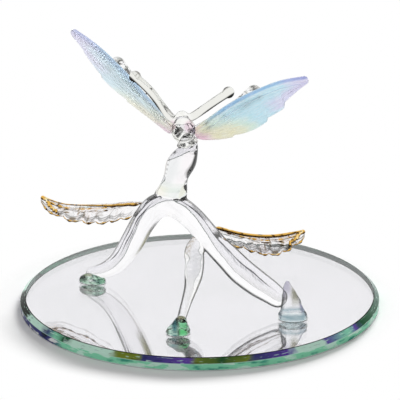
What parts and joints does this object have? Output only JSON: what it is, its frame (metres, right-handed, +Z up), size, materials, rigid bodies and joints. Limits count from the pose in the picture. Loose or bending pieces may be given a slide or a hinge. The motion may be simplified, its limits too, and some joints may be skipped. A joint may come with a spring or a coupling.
{
  "type": "glass butterfly ornament",
  "caption": "Glass butterfly with pearly wings, perched on a footed clear glass branch with gold-edged leaves, on a round bevelled mirror.",
  "frame": {"origin": "centre of the mirror's underside, which is the face that rests on the table", "axes": "+Z up, -Y to the front, towards the forward foot, +X to the right as seen from the front"},
  "size_m": [0.1016, 0.1016, 0.0803],
  "materials": {
    "clear_glass": "clear, fire polished",
    "pearly_glass": "translucent, pearly",
    "mirror_plate_glass": "clear, polished, bevelled",
    "silvering": "mirror",
    "backing_paint": "matte paint film",
    "adhesive": "clear cured film",
    "gold": "fired bright gold, slightly worn"
  },
  "bodies": {
    "root": {"mirror_glass": "mirror_plate_glass", "mirror_silvering": "silvering", "mirror_backing": "backing_paint", "left_leg": "clear_glass", "branch_crown": "clear_glass", "right_leg": "clear_glass", "front_leg": "clear_glass", "left_foot": "clear_glass", "right_foot": "clear_glass", "front_foot": "clear_glass", "left_foot_adhesive": "adhesive", "right_foot_adhesive": "adhesive", "front_foot_adhesive": "adhesive", "branch_stem": "clear_glass", "perch_collar": "clear_glass", "thorax": "clear_glass", "head": "clear_glass", "abdomen": "clear_glass", "left_antenna": "clear_glass", "right_antenna": "clear_glass", "left_forewing": "pearly_glass", "right_forewing": "pearly_glass", "left_hindwing": "clear_glass", "right_hindwing": "clear_glass", "left_leaf": "clear_glass", "right_leaf": "clear_glass", "left_leaf_gilding": "gold", "right_leaf_gilding": "gold"}
  },
  "joints": []
}
